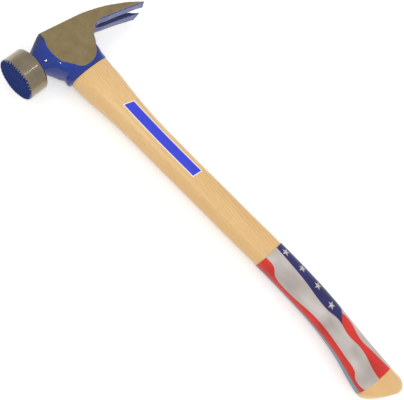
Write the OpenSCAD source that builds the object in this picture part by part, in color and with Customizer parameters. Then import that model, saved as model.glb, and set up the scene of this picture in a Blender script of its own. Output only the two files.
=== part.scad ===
// Framing hammer lying on its side. All lengths are in millimetres.
// X runs from the head to the butt, Y from the striking face to the claws, Z up.
// Shapes are drawn round the middle of the eye, on the axis of the striking end.
// The last step moves them to rest on the bench.

/* [Striking end] */
// Diameter of the round striking end
poll_d = 39.2; // [32:0.5:46]
// Length of the round striking end
poll_l = 20.2; // [15:0.2:26]
// Bevel round the front rim
poll_front_bevel = 1.14; // [0.4:0.1:3]
// Rounded corner round the back rim
poll_back_round = 2.42; // [0.6:0.1:5]
// From the striking face to the middle of the eye
face_reach = 56.6; // [50:0.2:66]
// Distance between neighbouring grooves of the milled face
mill_pitch = 2.4; // [2:0.1:4]
// Width of a groove in the milled face
mill_groove_w = 1.76; // [0.8:0.1:1.9]
// Depth of a groove in the milled face
mill_groove_deep = 1.02; // [0.3:0.05:1.2]

/* [Neck] */
// Height of the neck behind the striking end
neck_h = 19.6; // [14:0.2:26]
// Thickness of the neck behind the striking end
neck_t = 21; // [14:0.2:26]

/* [Cheeks and socket] */
// Thickness over the two ground cheeks
cheek_t = 28; // [24:0.2:34]
// Thickness of the forging before its cheeks are ground flat
forging_t = 29.8; // [28:0.2:36]
// From the axis of the striking end up to the crown, over the eye
crown_rise = 14.9; // [10:0.2:18]
// From the axis of the striking end down to the rim of the socket
socket_drop = 30.6; // [26:0.2:38]
// Width of the socket's rim, from front to back
socket_w = 36.4; // [32:0.2:42]
// Thickness of the socket's rim
socket_t = 24.6; // [22:0.2:28]

/* [Claws] */
// From the middle of the eye to the inner corners of the claw tips
claw_reach = 78.2; // [66:0.2:90]
// Width over the claw tips
claw_spread = 36.6; // [30:0.2:44]
// How far the claw tips come down below the axis of the striking end
claw_drop = 14.1; // [8:0.2:22]
// Thickness of the claw tips
claw_tip_t = 1.3; // [0.8:0.1:3]
// Gap between the claw tips, on their underside
slot_gap = 10.2; // [8:0.2:14]
// From the middle of the eye to the narrow end of the nail slot
slot_start = 33.2; // [28:0.2:44]
// How much wider the nail slot is on each side of its underside than under the crown
slot_bevel = 0.5; // [0.2:0.1:1.5]
// How far the wide bevel on the underside reaches beyond the nail slot, on each side
slot_flank_w = 3.42; // [1:0.1:5]
// How much shorter each claw is at its outer corner
tip_slant = 2.1; // [0:0.1:5]

/* [Eye and wedges] */
// Width of the eye at its waist, from front to back
eye_w = 25.4; // [20:0.2:28]
// Thickness of the eye at its waist
eye_t = 16.4; // [12:0.2:18]
// How much wider the eye is at the crown than at its waist
eye_flare_top = 2.2; // [0.6:0.1:3]
// How much wider the eye is at the socket's rim than at its waist
eye_flare_foot = 4.2; // [1:0.1:5]
// Gap left all round between the wood and the steel
eye_fit = 0.15; // [0.05:0.01:0.4]
// How far the end of the wood lies below the crown
wood_sink = 0.6; // [0.2:0.1:2]
// Gap between the wooden shoulder and the socket's rim
shoulder_gap = 0.2; // [0.05:0.05:0.6]
// Thickness of the wooden wedge at its top
wedge_t = 3.8; // [2:0.1:6]
// Length of the wooden wedge
wedge_l = 26; // [16:0.5:34]
// Thickness of a steel wedge at its top
steel_wedge_t = 2.4; // [1.5:0.1:4]
// Width of a steel wedge
steel_wedge_w = 12.6; // [8:0.2:14]
// Length of a steel wedge
steel_wedge_l = 17; // [10:0.5:24]
// From the middle of the eye to each steel wedge
steel_wedge_off = 6.4; // [4:0.1:9]
// Gap on each side of a wedge
wedge_fit = 0.05; // [0.02:0.01:0.2]

/* [Handle] */
// From the socket's rim to the middle of the butt
wood_l = 377.4; // [300:0.5:420]
// Width of the wood at the shoulder, from front to back
shoulder_w = 37.8; // [34:0.2:44]
// Thickness of the wood at the shoulder
shoulder_t = 26; // [22:0.2:30]
// Greatest distance of the middle line behind the eye
bow = 17.8; // [8:0.2:26]
// How much further the butt reaches at its back than at its front
butt_slant = 21.5; // [0:0.5:26]
// How much the end of the butt bulges in its middle
butt_bulge = 2.4; // [0:0.1:4]
// Radius of the rounding over the end of the butt
butt_round = 6; // [1:0.2:8]
// How far the corner at the back of the butt comes in from the back
heel_in = 8.2; // [1:0.2:14]
// How much sooner that corner starts than the rounding at the front
heel_lag = 7.6; // [0:0.2:12]

/* [Label and grip wrap] */
// From the socket's rim to the label
label_start = 43.2; // [30:0.5:80]
// Length of the label
label_l = 84.6; // [50:0.5:110]
// Width of the label
label_w = 11; // [8:0.2:16]
// Thickness of the label
label_t = 0.2; // [0.1:0.05:0.4]
// How much further back along the handle the label's back corner lies than its front corner, at its upper end
label_upper_skew = 3.2; // [0:0.1:5]
// The same at its lower end
label_lower_skew = 1.4; // [0:0.1:5]
// How far the label lies behind the middle line of the wood
label_off = 1.7; // [-2:0.1:3]
// Length of the grip wrap
wrap_l = 141.4; // [100:0.5:150]
// Length of bare wood from the grip wrap to the middle of the butt
bare_butt_l = 16.4; // [14:0.2:40]
// Thickness of the grip wrap
wrap_t = 0.3; // [0.15:0.05:0.6]
// Gap between the wood and what is stuck on it
stuck_gap = 0.06; // [0.02:0.01:0.2]

/* [Hidden] */

steel_color = [0.55, 0.51, 0.40];
wood_color = [0.90, 0.75, 0.52];
wedge_wood_color = [0.72, 0.55, 0.34];
label_color = [0.20, 0.26, 0.85];
wrap_color = [0.75, 0.20, 0.20];
round_steps = 96;
oval_steps = 40;

poll_r = poll_d / 2;
neck_y = poll_l - face_reach;
claw_root_share = 0.307;
claw_root = claw_root_share * claw_reach;

// Where a share lies in a list of stations, and a smooth curve through the values at those stations
function spot(s, at, i = 0) = i >= len(at) - 2 || s <= at[i + 1] ? i : spot(s, at, i + 1);
function lean(at, v, i) =
    let (j = max(i - 1, 0), k = min(i + 1, len(at) - 1))
    (v[k] - v[j]) / (at[k] - at[j]);
function flow(s, at, v) =
    let (i = spot(s, at), h = at[i + 1] - at[i], u = (s - at[i]) / h)
    (2 * u ^ 3 - 3 * u ^ 2 + 1) * v[i] + (u ^ 3 - 2 * u ^ 2 + u) * h * lean(at, v, i)
    + (3 * u ^ 2 - 2 * u ^ 3) * v[i + 1] + (u ^ 3 - u ^ 2) * h * lean(at, v, i + 1);

// An oval between an ellipse and a rectangle: the higher the power, the squarer
function bend(v, power) = sign(v) * pow(abs(v), 2 / power);
function oval(half_a, half_b, power) = [
    for (i = [0:oval_steps - 1]) let (t = 360 * i / oval_steps)
        [half_a * bend(cos(t), power), half_b * bend(sin(t), power)]
];

// Joins closed rings of points, one after another, and closes both ends
module skin(rings, along_y = false) {
    n = len(rings[0]);
    last = len(rings) - 1;
    ends = [[for (i = [0:n - 1]) n - 1 - i], [for (i = [0:n - 1]) last * n + i]];
    sides = [
        for (k = [0:last - 1]) for (i = [0:n - 1])
            let (a = k * n + i, b = k * n + (i + 1) % n)
            each [[a, b, a + n], [b, b + n, a + n]]
    ];
    faces = concat(ends, sides);
    polyhedron(
        points = [for (r = rings) each r],
        faces = along_y ? faces : [for (f = faces) [for (i = [0:len(f) - 1]) f[len(f) - 1 - i]]]
    );
}

// Joins rings of points into a loop that closes on itself, such as a sleeve
module loop_skin(rings) {
    n = len(rings[0]);
    m = len(rings);
    polyhedron(
        points = [for (r = rings) each r],
        faces = [
            for (k = [0:m - 1]) for (i = [0:n - 1])
                let (j = (i + 1) % n, l = (k + 1) % m)
                each [[k * n + i, l * n + i, k * n + j], [k * n + j, l * n + i, l * n + j]]
        ]
    );
}

// Joins rows of points over and under a thin sheet
module sheet_skin(over, under) {
    n = len(over[0]);
    m = len(over);
    all_over = m * n;
    top = [
        for (k = [0:m - 2]) for (i = [0:n - 2])
            let (a = k * n + i)
            each [[a, a + 1, a + n], [a + 1, a + n + 1, a + n]]
    ];
    edge = concat(
        [for (i = [0:n - 2]) [i, i + 1]],
        [for (k = [0:m - 2]) [k * n + n - 1, (k + 1) * n + n - 1]],
        [for (i = [0:n - 2]) [m * n - 1 - i, m * n - 2 - i]],
        [for (k = [0:m - 2]) [(m - 1 - k) * n, (m - 2 - k) * n]]
    );
    polyhedron(
        points = concat([for (r = over) each r], [for (r = under) each r]),
        faces = concat(
            top,
            [for (f = top) [f[0] + all_over, f[2] + all_over, f[1] + all_over]],
            [for (e = edge) [e[1], e[0], e[0] + all_over]],
            [for (e = edge) [e[1], e[0] + all_over, e[1] + all_over]]
        )
    );
}

// The head
crown_slope = 0.1482;
function crown_x(y) = crown_slope * y - crown_rise;

// The round striking end, turned about the Y axis, with bevelled rims
module poll_body() {
    round_shares = [0, 0.29, 0.62, 1];
    round_in = [1, 0.43, 0.12, 0];
    translate([0, neck_y, 0])
        rotate([90, 0, 0])
            rotate_extrude($fn = round_steps)
                polygon(concat(
                    [[0, 0]],
                    [
                        for (i = [0:3])
                            [poll_r - poll_back_round * round_in[i], poll_back_round * round_shares[i]]
                    ],
                    [[poll_r, poll_l - poll_front_bevel], [poll_r - poll_front_bevel, poll_l], [0, poll_l]]
                ));
}

// One groove of the milled face, lying along X, with a narrow flat floor
mill_floor_share = 0.24;
mill_cross_share = 0.82;
module mill_groove(deep) {
    over = mill_groove_deep;
    half_w = mill_groove_w / 2;
    floor_half = mill_floor_share * half_w;
    grow = (half_w - floor_half) * over / deep;
    translate([-poll_d, -face_reach, 0])
        rotate([90, 0, 90])
            linear_extrude(height = 2 * poll_d)
                polygon([
                    [deep, floor_half], [-over, half_w + grow],
                    [-over, -half_w - grow], [deep, -floor_half]
                ]);
}

// Two crossing rows of grooves, one a little shallower than the other
module mill_grooves() {
    rows = floor((poll_r - mill_groove_w / 2) / mill_pitch);
    for (k = [-rows:rows]) {
        translate([0, 0, k * mill_pitch])
            mill_groove(mill_groove_deep);
        translate([k * mill_pitch, 0, 0])
            rotate([0, 90, 0])
                mill_groove(mill_cross_share * mill_groove_deep);
    }
}

// Height and thickness of the neck, as it runs back into the eye's block
neck_at = [0, 0.1, 0.2, 0.29, 0.37, 0.44, 0.5, 0.6, 1];
neck_top_shares = [-0.50, -0.55, -0.69, -0.80, -0.90, -0.975, -1, -1, -1];
neck_foot_shares = [0.525, 0.54, 0.63, 0.83, 1.055, 1.225, 1.27, 1.12, 1];
neck_thick_shares = [1, 1.02, 1.09, 1.18, 1.276, 1.343, 1.39, 1.43, 1.44];
neck_power = [2.3, 2.35, 2.5, 2.7, 3.0, 3.2, 3.4, 3.6, 3.8];
neck_stations = [-0.04, 0.03, 0.06, 0.1, 0.15, 0.2, 0.25, 0.3, 0.35, 0.4, 0.45, 0.5, 0.56, 0.62, 0.68, 0.74, 0.8];

module neck_body() {
    length = face_reach - poll_l;
    skin([
        for (s = neck_stations)
            let (
                u = max(s, 0),
                top = neck_h * flow(u, neck_at, neck_top_shares),
                foot = neck_h * flow(u, neck_at, neck_foot_shares),
                half_t = neck_t / 2 * flow(u, neck_at, neck_thick_shares)
            )
            [for (p = oval((foot - top) / 2, half_t, flow(u, neck_at, neck_power)))
                [(top + foot) / 2 + p[0], neck_y + length * s, p[1]]]
    ], true);
}

// The block round the eye, from the crown down to the socket's rim
block_at = [0, 0.3, 0.6, 0.72, 0.8, 0.86, 0.92, 0.97, 1];
block_front_shares = [1.045, 1.045, 1.04, 1.05, 1.10, 1.17, 1.23, 1.235, 1.19];
block_back_shares = [1.04, 1.04, 1.02, 0.98, 0.99, 1.02, 1.06, 1.09, 1.10];
block_thick_shares = [1, 1, 1, 1, 1, 0.99, 0.956, 0.9, 0.83];
block_front_power = [10.6, 10, 8, 6.2, 3.5, 2.6, 2.35, 2.3, 2.3];
block_back_power = [11.9, 10, 8, 6.4, 4.9, 3.35, 2.65, 2.4, 2.3];
block_stations = [0, 0.12, 0.24, 0.36, 0.48, 0.56, 0.62, 0.67, 0.72, 0.76, 0.8, 0.83, 0.86, 0.89, 0.92, 0.95,
    0.975, 0.99, 1];

// The block starts a little over the crown, which is then cut flat
block_over_share = 0.186;
block_over = block_over_share * crown_rise;

// A ring of the block, half of one oval towards the striking end and half of another towards the claws
function two_ovals(front, back, half_t, s) =
    let (
        near = oval(front, half_t, flow(s, block_at, block_front_power)),
        far = oval(back, half_t, flow(s, block_at, block_back_power))
    )
    [for (i = [0:oval_steps - 1]) near[i][0] < 0 ? near[i] : far[i]];

module block_body() {
    length = socket_drop + crown_rise;
    skin([
        for (s = block_stations)
            let (
                front = socket_w / 2 * flow(s, block_at, block_front_shares),
                back = socket_w / 2 * flow(s, block_at, block_back_shares),
                half_t = s == 1 ? socket_t / 2 : forging_t / 2 * flow(s, block_at, block_thick_shares)
            )
            [for (p = two_ovals(front, back, half_t, s))
                [(1 - s) * (crown_x(p[0]) - block_over) + s * socket_drop, p[0], p[1]]]
    ]);
}

// Upper and lower edge of the claws, as shares of how far they come down
claw_top_at = [0, 0.208, 0.324, 0.375, 0.477, 0.574, 0.695, 0.814, 0.897, 0.965, 1];
claw_top_shares = [-1.05, -0.858, -0.716, -0.63, -0.468, -0.277, 0.028, 0.355, 0.638, 0.894, 0.96];
claw_foot_at = [0, 0.1, 0.167, 0.189, 0.216, 0.249, 0.282, 0.331, 0.378, 0.426, 0.507, 0.589, 0.684, 0.78,
    0.861, 0.929, 0.97, 1];
claw_foot_shares = [1.8, 1.49, 1.18, 1.0, 0.73, 0.574, 0.44, 0.284, 0.19, 0.234, 0.362, 0.454, 0.574, 0.702,
    0.823, 0.922, 0.986, 1.03];
claw_stations = [0, 0.05, 0.1, 0.135, 0.17, 0.195, 0.21, 0.225, 0.245, 0.27, 0.29, 0.31, 0.335, 0.36,
    0.38, 0.395, 0.41, 0.43, 0.46, 0.5, 0.54, 0.58, 0.62, 0.66, 0.7, 0.74, 0.78, 0.82, 0.86, 0.9, 0.94, 0.97, 1];

// The claws start inside the block, and wider than they are ground
claw_inner_share = 0.0616;
claw_over_share = 0.913;

module claw_body() {
    inner = claw_inner_share * claw_reach;
    length = claw_reach - inner;
    half_w = claw_spread * claw_over_share;
    skin([
        for (s = claw_stations)
            let (
                y = inner + length * s,
                top = claw_drop * flow(s, claw_top_at, claw_top_shares),
                foot = max(claw_drop * flow(s, claw_foot_at, claw_foot_shares), top + claw_tip_t)
            )
            [for (p = oval((foot - top) / 2, half_w, s < 0.3 ? 7 : 3 + 4 * max(0.5 - s, 0) / 0.2))
                [(top + foot) / 2 + p[0], y, p[1]]]
    ], true);
}

// What the head may fill, seen from the handle: the two ground cheeks and the flared sides of the claws
module ground_sides() {
    half_t = cheek_t / 2;
    half_spread = claw_spread / 2;
    tip_y = claw_reach - tip_slant;
    front = -face_reach;
    translate([-claw_reach, 0, 0])
        rotate([90, 0, 90])
            linear_extrude(height = 2 * claw_reach)
                polygon([
                    [front, half_t], [claw_root, half_t], [tip_y, half_spread], [claw_reach, slot_gap / 2],
                    [claw_reach, -slot_gap / 2], [tip_y, -half_spread], [claw_root, -half_t], [front, -half_t]
                ]);
}

// The space over the flat crown, and in front of the flat that slopes from the crown down to the neck
crown_edge_share = 0.335;
neck_flat_share = 0.495;
module over_crown_space() {
    edge_y = -crown_edge_share * face_reach;
    foot_y = neck_y + 0.1 * neck_h;
    foot_x = -neck_flat_share * neck_h;
    high = crown_x(edge_y) - 2 * crown_rise;
    translate([0, 0, -claw_spread])
        linear_extrude(height = 2 * claw_spread)
            polygon([
                [foot_x, foot_y], [crown_x(edge_y), edge_y], [crown_x(claw_reach), claw_reach],
                [high, claw_reach], [high, foot_y]
            ]);
}

// The nail slot, a wedge of space that is a little narrower towards the crown
module nail_slot() {
    reach = 1.2 * claw_reach;
    foot_mouth = slot_gap / 2 * (reach - slot_start) / (claw_reach - slot_start);
    top_mouth = foot_mouth - slot_bevel;
    blunt = 0.05 * slot_gap;
    top = -2 * crown_rise;
    foot = 1.5 * claw_drop;
    top_start = slot_start + slot_bevel;
    skin([
        [
            [top, top_start, -blunt], [top, top_start, blunt],
            [top, reach, top_mouth], [top, reach, -top_mouth]
        ],
        [
            [foot, slot_start, -blunt], [foot, slot_start, blunt],
            [foot, reach, foot_mouth], [foot, reach, -foot_mouth]
        ]
    ], true);
}

// The wide bevel along both sides of the nail slot, on the underside of the claws, with a rounded end
flank_stations = [0, 0.012, 0.035, 0.07, 0.12, 0.2, 0.3, 0.4, 0.5, 0.6, 0.7, 0.8, 0.9, 1, 1.1];
flank_round_share = 0.12;
flank_deep_share = 0.743;
flank_tip_share = 0.4;
module slot_flanks() {
    inner = claw_inner_share * claw_reach;
    blunt = 0.05 * slot_gap;
    over = claw_tip_t;
    skin([
        for (s = flank_stations)
            let (
                y = slot_start + (claw_reach - slot_start) * s,
                u = min((y - inner) / (claw_reach - inner), 1),
                top = claw_drop * flow(u, claw_top_at, claw_top_shares),
                foot = max(claw_drop * flow(u, claw_foot_at, claw_foot_shares), top + claw_tip_t),
                round = s < flank_round_share ? sqrt(1 - pow(1 - s / flank_round_share, 2)) : 1,
                reach = slot_flank_w * (1 - (1 - flank_tip_share) * min(s, 1)),
                half = blunt + (slot_gap / 2 - blunt) * s + reach * round,
                deep = (foot - top) * flank_deep_share,
                lean_out = (half - blunt) / deep
            )
            [
                [foot + over, y, -half - over * lean_out], [foot + over, y, half + over * lean_out],
                [foot - deep, y, blunt], [foot - deep, y, -blunt]
            ]
    ], true);
}

// The eye, widest at the socket's rim, narrowest at its waist
eye_at = [0, 0.25, 0.5, 0.75, 1];
eye_top_shares = [1, 0.55, 0.1, 0, 0];
eye_foot_shares = [0, 0, 0.1, 0.5, 1];
eye_stations = [0, 0.1, 0.2, 0.3, 0.4, 0.5, 0.6, 0.7, 0.8, 0.9, 1];

function eye_ring(s, less, sink, drop) =
    let (
        top_wider = eye_flare_top / 2 * flow(s, eye_at, eye_top_shares),
        wider = top_wider + eye_flare_foot / 2 * flow(s, eye_at, eye_foot_shares)
    )
    [for (p = oval(eye_w / 2 + wider - less, eye_t / 2 + wider * 0.6 - less, 2.6))
        [(1 - s) * (crown_x(p[0]) + sink) + s * (socket_drop + drop), p[0], p[1]]];

// The space starts over the crown and ends under the rim
module eye_space() {
    over = eye_w;
    first = eye_ring(-eye_stations[1], 0, 0, 0);
    last = eye_ring(1, 0, 0, 0);
    skin(concat(
        [[for (p = first) [p[0] - over, p[1], p[2]]], first],
        [for (s = eye_stations) if (s > 0) eye_ring(s, 0, 0, 0)],
        [[for (p = last) [p[0] + over, p[1], p[2]]]]
    ));
}

// The drop forging behind the striking end, with its crown, cheeks, eye and claws cut
module forging() {
    difference() {
        intersection() {
            union() {
                block_body();
                neck_body();
                claw_body();
            }
            ground_sides();
        }
        over_crown_space();
        eye_space();
        nail_slot();
        slot_flanks();
    }
}

module striking_end() {
    difference() {
        poll_body();
        mill_grooves();
    }
}

// The head is one smooth forging. Its thickness is that of the striking end
module head() {
    color(steel_color)
        to_bench()
            resize([0, 0, poll_d])
                union() {
                    striking_end();
                    forging();
                }
}

// The handle. Its stations are shares of the wood's length below the socket's rim
wood_at = [0, 0.025, 0.045, 0.068, 0.09, 0.135, 0.18, 0.235, 0.34, 0.41, 0.48, 0.545, 0.615, 0.685, 0.75, 0.8,
    0.845, 0.87, 0.91, 0.935, 0.965, 1];
bow_shares = [0, 0, 0.03, 0.055, 0.08, 0.13, 0.18, 0.25, 0.42, 0.54, 0.65, 0.765, 0.885, 0.965, 1, 0.97, 0.90,
    0.84, 0.73, 0.675, 0.645, 0.64];
wide_shares = [1.032, 1.01, 0.992, 0.95, 0.895, 0.82, 0.785, 0.77, 0.765, 0.775, 0.78, 0.785, 0.78, 0.785, 0.78,
    0.785, 0.82, 0.85, 0.94, 0.985, 1.025, 1.045];
thick_shares = [0.965, 0.99, 1, 0.985, 0.955, 0.90, 0.87, 0.85, 0.845, 0.85, 0.85, 0.85, 0.845, 0.84, 0.835,
    0.83, 0.845, 0.865, 0.93, 0.97, 0.995, 1];
wood_power = 2.35;

// Middle line and half sizes of the wood, at a distance below the socket's rim
function mid_y(d) = bow * flow(d / wood_l, wood_at, bow_shares);
function half_wide(d) = shoulder_w / 2 * flow(d / wood_l, wood_at, wide_shares);
function half_thick(d) = shoulder_t / 2 * flow(d / wood_l, wood_at, thick_shares);
// The rings lean over towards the slanted butt
butt_tilt = butt_slant / shoulder_w;
lean_start_share = 0.9;
function ring_lean(d) = butt_tilt * pow(max(d / wood_l - lean_start_share, 0) / (1 - lean_start_share), 3);
function wood_ring(d, more) = [
    for (p = oval(half_wide(d) + more, half_thick(d) + more, wood_power))
        [socket_drop + d + ring_lean(d) * p[0], mid_y(d) + p[0], p[1]]
];

// Rings of the rounded butt, shrinking as they come to the end. The corner at its back is nearly a chamfer
butt_start = wood_l - butt_round;
butt_x = socket_drop + butt_start;
butt_turns = [0, 15, 30, 45, 60, 75, 90];
heel_power = 1.5;
function butt_ring(turn) =
    let (out = butt_round * sin(turn), less = 1 - cos(turn), heel_less = 1 - pow(cos(turn), heel_power))
    [for (p = oval(1, half_thick(butt_start) - butt_round * less, wood_power))
        let (
            y = p[0] * (half_wide(butt_start) - (p[0] > 0 ? heel_in * heel_less : butt_round * less)),
            lag = heel_lag * pow(max(p[0], 0), 2) * (1 - pow(sin(turn), heel_power)),
            bulge = butt_bulge * (1 - pow(abs(p[0]), 3)) * sin(turn)
        )
        [butt_x + out + butt_tilt * y + bulge - lag, mid_y(butt_start + out) + y, p[1]]];
far_x = max([for (turn = butt_turns) for (p = butt_ring(turn)) p[0]]);

body_stations = [0.004, 0.012, 0.025, 0.035, 0.045, 0.056, 0.068, 0.08, 0.09, 0.105, 0.12, 0.135, 0.155, 0.18,
    0.21, 0.235, 0.27, 0.305, 0.34, 0.375, 0.41, 0.445, 0.48, 0.515, 0.545, 0.58, 0.615, 0.65, 0.685,
    0.72, 0.75, 0.775, 0.8, 0.825, 0.845, 0.87, 0.89, 0.91, 0.935, 0.95, 0.96];

module tenon_and_wood() {
    skin(concat(
        [for (s = eye_stations) eye_ring(s, eye_fit, wood_sink, shoulder_gap)],
        [[for (p = wood_ring(0, -0.01 * shoulder_t)) [socket_drop + shoulder_gap, p[1], p[2]]]],
        [for (s = body_stations) wood_ring(s * wood_l, 0)],
        [for (turn = butt_turns) butt_ring(turn)]
    ));
}

// A wedge seen from the side: thick at the crown, thin at its far end
module eye_wedge_space(gap) {
    half_top = wedge_t / 2 + gap;
    half_foot = wedge_t / 14 + gap;
    top = -2 * crown_rise;
    foot = wedge_l - crown_rise + gap;
    grow = (half_top - half_foot) * crown_rise / wedge_l;
    translate([0, eye_w, 0])
        rotate([90, 0, 0])
            linear_extrude(height = 2 * eye_w)
                polygon([
                    [top, half_top + grow], [foot, half_foot],
                    [foot, -half_foot], [top, -half_top - grow]
                ]);
}

module steel_wedge_form(side, gap, sink) {
    mid = side * steel_wedge_off;
    half_top = steel_wedge_t / 2 + gap;
    half_foot = steel_wedge_t / 10 + gap;
    half_w = steel_wedge_w / 2 + gap;
    foot = crown_x(mid) + steel_wedge_l + gap;
    translate([0, 0, -half_w])
        linear_extrude(height = 2 * half_w)
            polygon([
                [crown_x(mid - half_top) + sink, mid - half_top],
                [crown_x(mid + half_top) + sink, mid + half_top],
                [foot, mid + half_foot], [foot, mid - half_foot]
            ]);
}

module steel_wedge_spaces() {
    for (side = [-1, 1])
        steel_wedge_form(side, wedge_fit, 0);
}

module handle() {
    color(wood_color)
        to_bench()
            difference() {
                tenon_and_wood();
                eye_wedge_space(wedge_fit);
                steel_wedge_spaces();
            }
}

module eye_wedge() {
    color(wedge_wood_color)
        to_bench()
            difference() {
                intersection() {
                    skin([for (s = eye_stations) eye_ring(s, eye_fit, wood_sink, shoulder_gap)]);
                    eye_wedge_space(0);
                }
                steel_wedge_spaces();
            }
}

module steel_wedge(side) {
    color(steel_color)
        to_bench()
            steel_wedge_form(side, 0, wood_sink);
}

// A point on the wood's upper side, at a distance along it and across it
function on_wood(d, across, over) =
    let (side = abs(across) / half_wide(d), rise = pow(1 - pow(side, wood_power), 1 / wood_power))
    [socket_drop + d, mid_y(d) + across, half_thick(d) * rise + over];

module handle_label() {
    rows = 20;
    columns = 8;
    lay = function (over) [
        for (k = [0:rows]) [
            for (i = [0:columns])
                let (
                    u = k / rows,
                    across = i / columns - 0.5,
                    skew = label_upper_skew * (1 - u) + label_lower_skew * u
                )
                on_wood(label_start + label_l * u + skew * across, label_off + label_w * across, over)
        ]
    ];
    color(label_color)
        to_bench()
            sheet_skin(lay(stuck_gap + label_t), lay(stuck_gap));
}

wrap_start = wood_l - bare_butt_l - wrap_l;

module grip_wrap() {
    rows = 22;
    color(wrap_color)
        to_bench()
            loop_skin(concat(
                [for (k = [0:rows]) wood_ring(wrap_start + wrap_l * k / rows, stuck_gap + wrap_t)],
                [for (k = [0:rows]) wood_ring(wrap_start + wrap_l * (rows - k) / rows, stuck_gap)]
            ));
}

// Rests the hammer on the bench, with the middle of its length and of its reach over the origin
module to_bench() {
    translate([(poll_r - far_x) / 2, (face_reach - claw_reach) / 2, poll_r])
        children();
}

head();
handle();
eye_wedge();
steel_wedge(-1);  // steel_wedge_front
steel_wedge(1);  // steel_wedge_rear
handle_label();
grip_wrap();
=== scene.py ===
import math

import bmesh
import bpy
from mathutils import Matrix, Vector


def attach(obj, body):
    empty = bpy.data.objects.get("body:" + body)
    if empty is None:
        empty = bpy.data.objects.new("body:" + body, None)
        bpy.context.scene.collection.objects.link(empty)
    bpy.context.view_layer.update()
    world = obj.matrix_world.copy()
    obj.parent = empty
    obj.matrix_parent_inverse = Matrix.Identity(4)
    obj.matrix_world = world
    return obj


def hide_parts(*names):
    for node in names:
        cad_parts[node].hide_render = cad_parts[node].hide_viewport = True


# A framing hammer lying on its side: forged steel head, curved hickory handle, stuck-on label and printed
# grip sleeve. X runs from the head to the butt, Y from the striking face to the claws, and Z up.
# Sizes are in millimetres, from the middle of the eye, until place() turns them to metres on the bench.

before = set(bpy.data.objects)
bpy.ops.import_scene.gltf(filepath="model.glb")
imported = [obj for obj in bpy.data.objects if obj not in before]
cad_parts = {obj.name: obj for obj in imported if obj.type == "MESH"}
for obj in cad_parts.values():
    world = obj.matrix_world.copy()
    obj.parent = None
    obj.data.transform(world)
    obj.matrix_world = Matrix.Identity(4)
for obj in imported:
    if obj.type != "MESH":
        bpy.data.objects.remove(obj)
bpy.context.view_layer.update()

# Camera, solved from the photo: its place in metres and its turn in degrees
CAMERA_AT = (-0.021875, -0.37297, 0.79854)
CAMERA_TURN = (16.9412, -18.6611, 46.1251)
camera_data = bpy.data.cameras.new("photo_camera")
camera_data.sensor_width = 36
camera_data.lens = 89.21
camera_data.clip_end = 20
camera = bpy.data.objects.new("photo_camera", camera_data)
camera.location = CAMERA_AT
camera.rotation_euler = [math.radians(turn) for turn in CAMERA_TURN]
bpy.context.scene.collection.objects.link(camera)
bpy.context.scene.camera = camera
bpy.context.scene.view_settings.view_transform = "Standard"

# Sizes that place the whole hammer, the same as in the CAD's source: the striking end's radius, and from the
# middle of the eye to the striking face, to the claw tips and to the furthest point of the butt
MM = 0.001
POLL_R = 19.6
FACE_REACH = 56.6
CLAW_REACH = 78.2
FAR_X = 414.525
# The hammer is centred in X and Y, and its striking end touches the bench
EYE_AT = ((POLL_R - FAR_X) / 2, (FACE_REACH - CLAW_REACH) / 2, POLL_R)


def place(x, y, z):
    """A point measured from the middle of the eye, put where the hammer lies on the bench."""
    return Vector([(part + shift) * MM for part, shift in zip((x, y, z), EYE_AT)])


def put_in_scene(name, mesh):
    piece = bpy.data.objects.new(name, mesh)
    bpy.context.scene.collection.objects.link(piece)
    return piece


def face_outward(mesh):
    skin = bmesh.new()
    skin.from_mesh(mesh)
    bmesh.ops.recalc_face_normals(skin, faces=skin.faces)
    skin.to_mesh(mesh)
    skin.free()


def work_in(piece, kind, **settings):
    """Works one modifier into the piece's mesh."""
    modifier = piece.modifiers.new(kind.lower(), kind)
    for name, value in settings.items():
        setattr(modifier, name, value)
    depsgraph = bpy.context.evaluated_depsgraph_get()
    done = bpy.data.meshes.new_from_object(piece.evaluated_get(depsgraph))
    piece.modifiers.clear()
    piece.data = done


def station(s, at):
    i = 0
    while i < len(at) - 2 and s > at[i + 1]:
        i += 1
    return i


def lean(at, v, i):
    before, after = max(i - 1, 0), min(i + 1, len(at) - 1)
    return (v[after] - v[before]) / (at[after] - at[before])


def flow(s, at, v):
    """A smooth curve through the values v at the stations at."""
    i = station(s, at)
    h = at[i + 1] - at[i]
    u = (s - at[i]) / h
    return (
        (2 * u**3 - 3 * u**2 + 1) * v[i] + (u**3 - 2 * u**2 + u) * h * lean(at, v, i)
        + (3 * u**2 - 2 * u**3) * v[i + 1] + (u**3 - u**2) * h * lean(at, v, i + 1)
    )


def oval(half_a, half_b, power, steps):
    """Points round an oval between an ellipse and a rectangle."""
    points = []
    for i in range(steps):
        c, s = math.cos(2 * math.pi * i / steps), math.sin(2 * math.pi * i / steps)
        points.append((
            half_a * math.copysign(abs(c) ** (2 / power), c),
            half_b * math.copysign(abs(s) ** (2 / power), s),
        ))
    return points


# Handle. It follows the CAD's sections, with more of them and more points in each
WOOD_L = 377.4
SOCKET_DROP = 30.6
SHOULDER_GAP = 0.2
SHOULDER_W = 37.8
SHOULDER_T = 26
BOW = 17.8
WOOD_POWER = 2.35
wood_at = [0, 0.025, 0.045, 0.068, 0.09, 0.135, 0.18, 0.235, 0.34, 0.41, 0.48, 0.545, 0.615, 0.685, 0.75,
           0.8, 0.845, 0.87, 0.91, 0.935, 0.965, 1]
bow_shares = [0, 0, 0.03, 0.055, 0.08, 0.13, 0.18, 0.25, 0.42, 0.54, 0.65, 0.765, 0.885, 0.965, 1, 0.97,
              0.90, 0.84, 0.73, 0.675, 0.645, 0.64]
wide_shares = [1.032, 1.01, 0.992, 0.95, 0.895, 0.82, 0.785, 0.77, 0.765, 0.775, 0.78, 0.785, 0.78, 0.785,
               0.78, 0.785, 0.82, 0.85, 0.94, 0.985, 1.025, 1.045]
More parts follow.
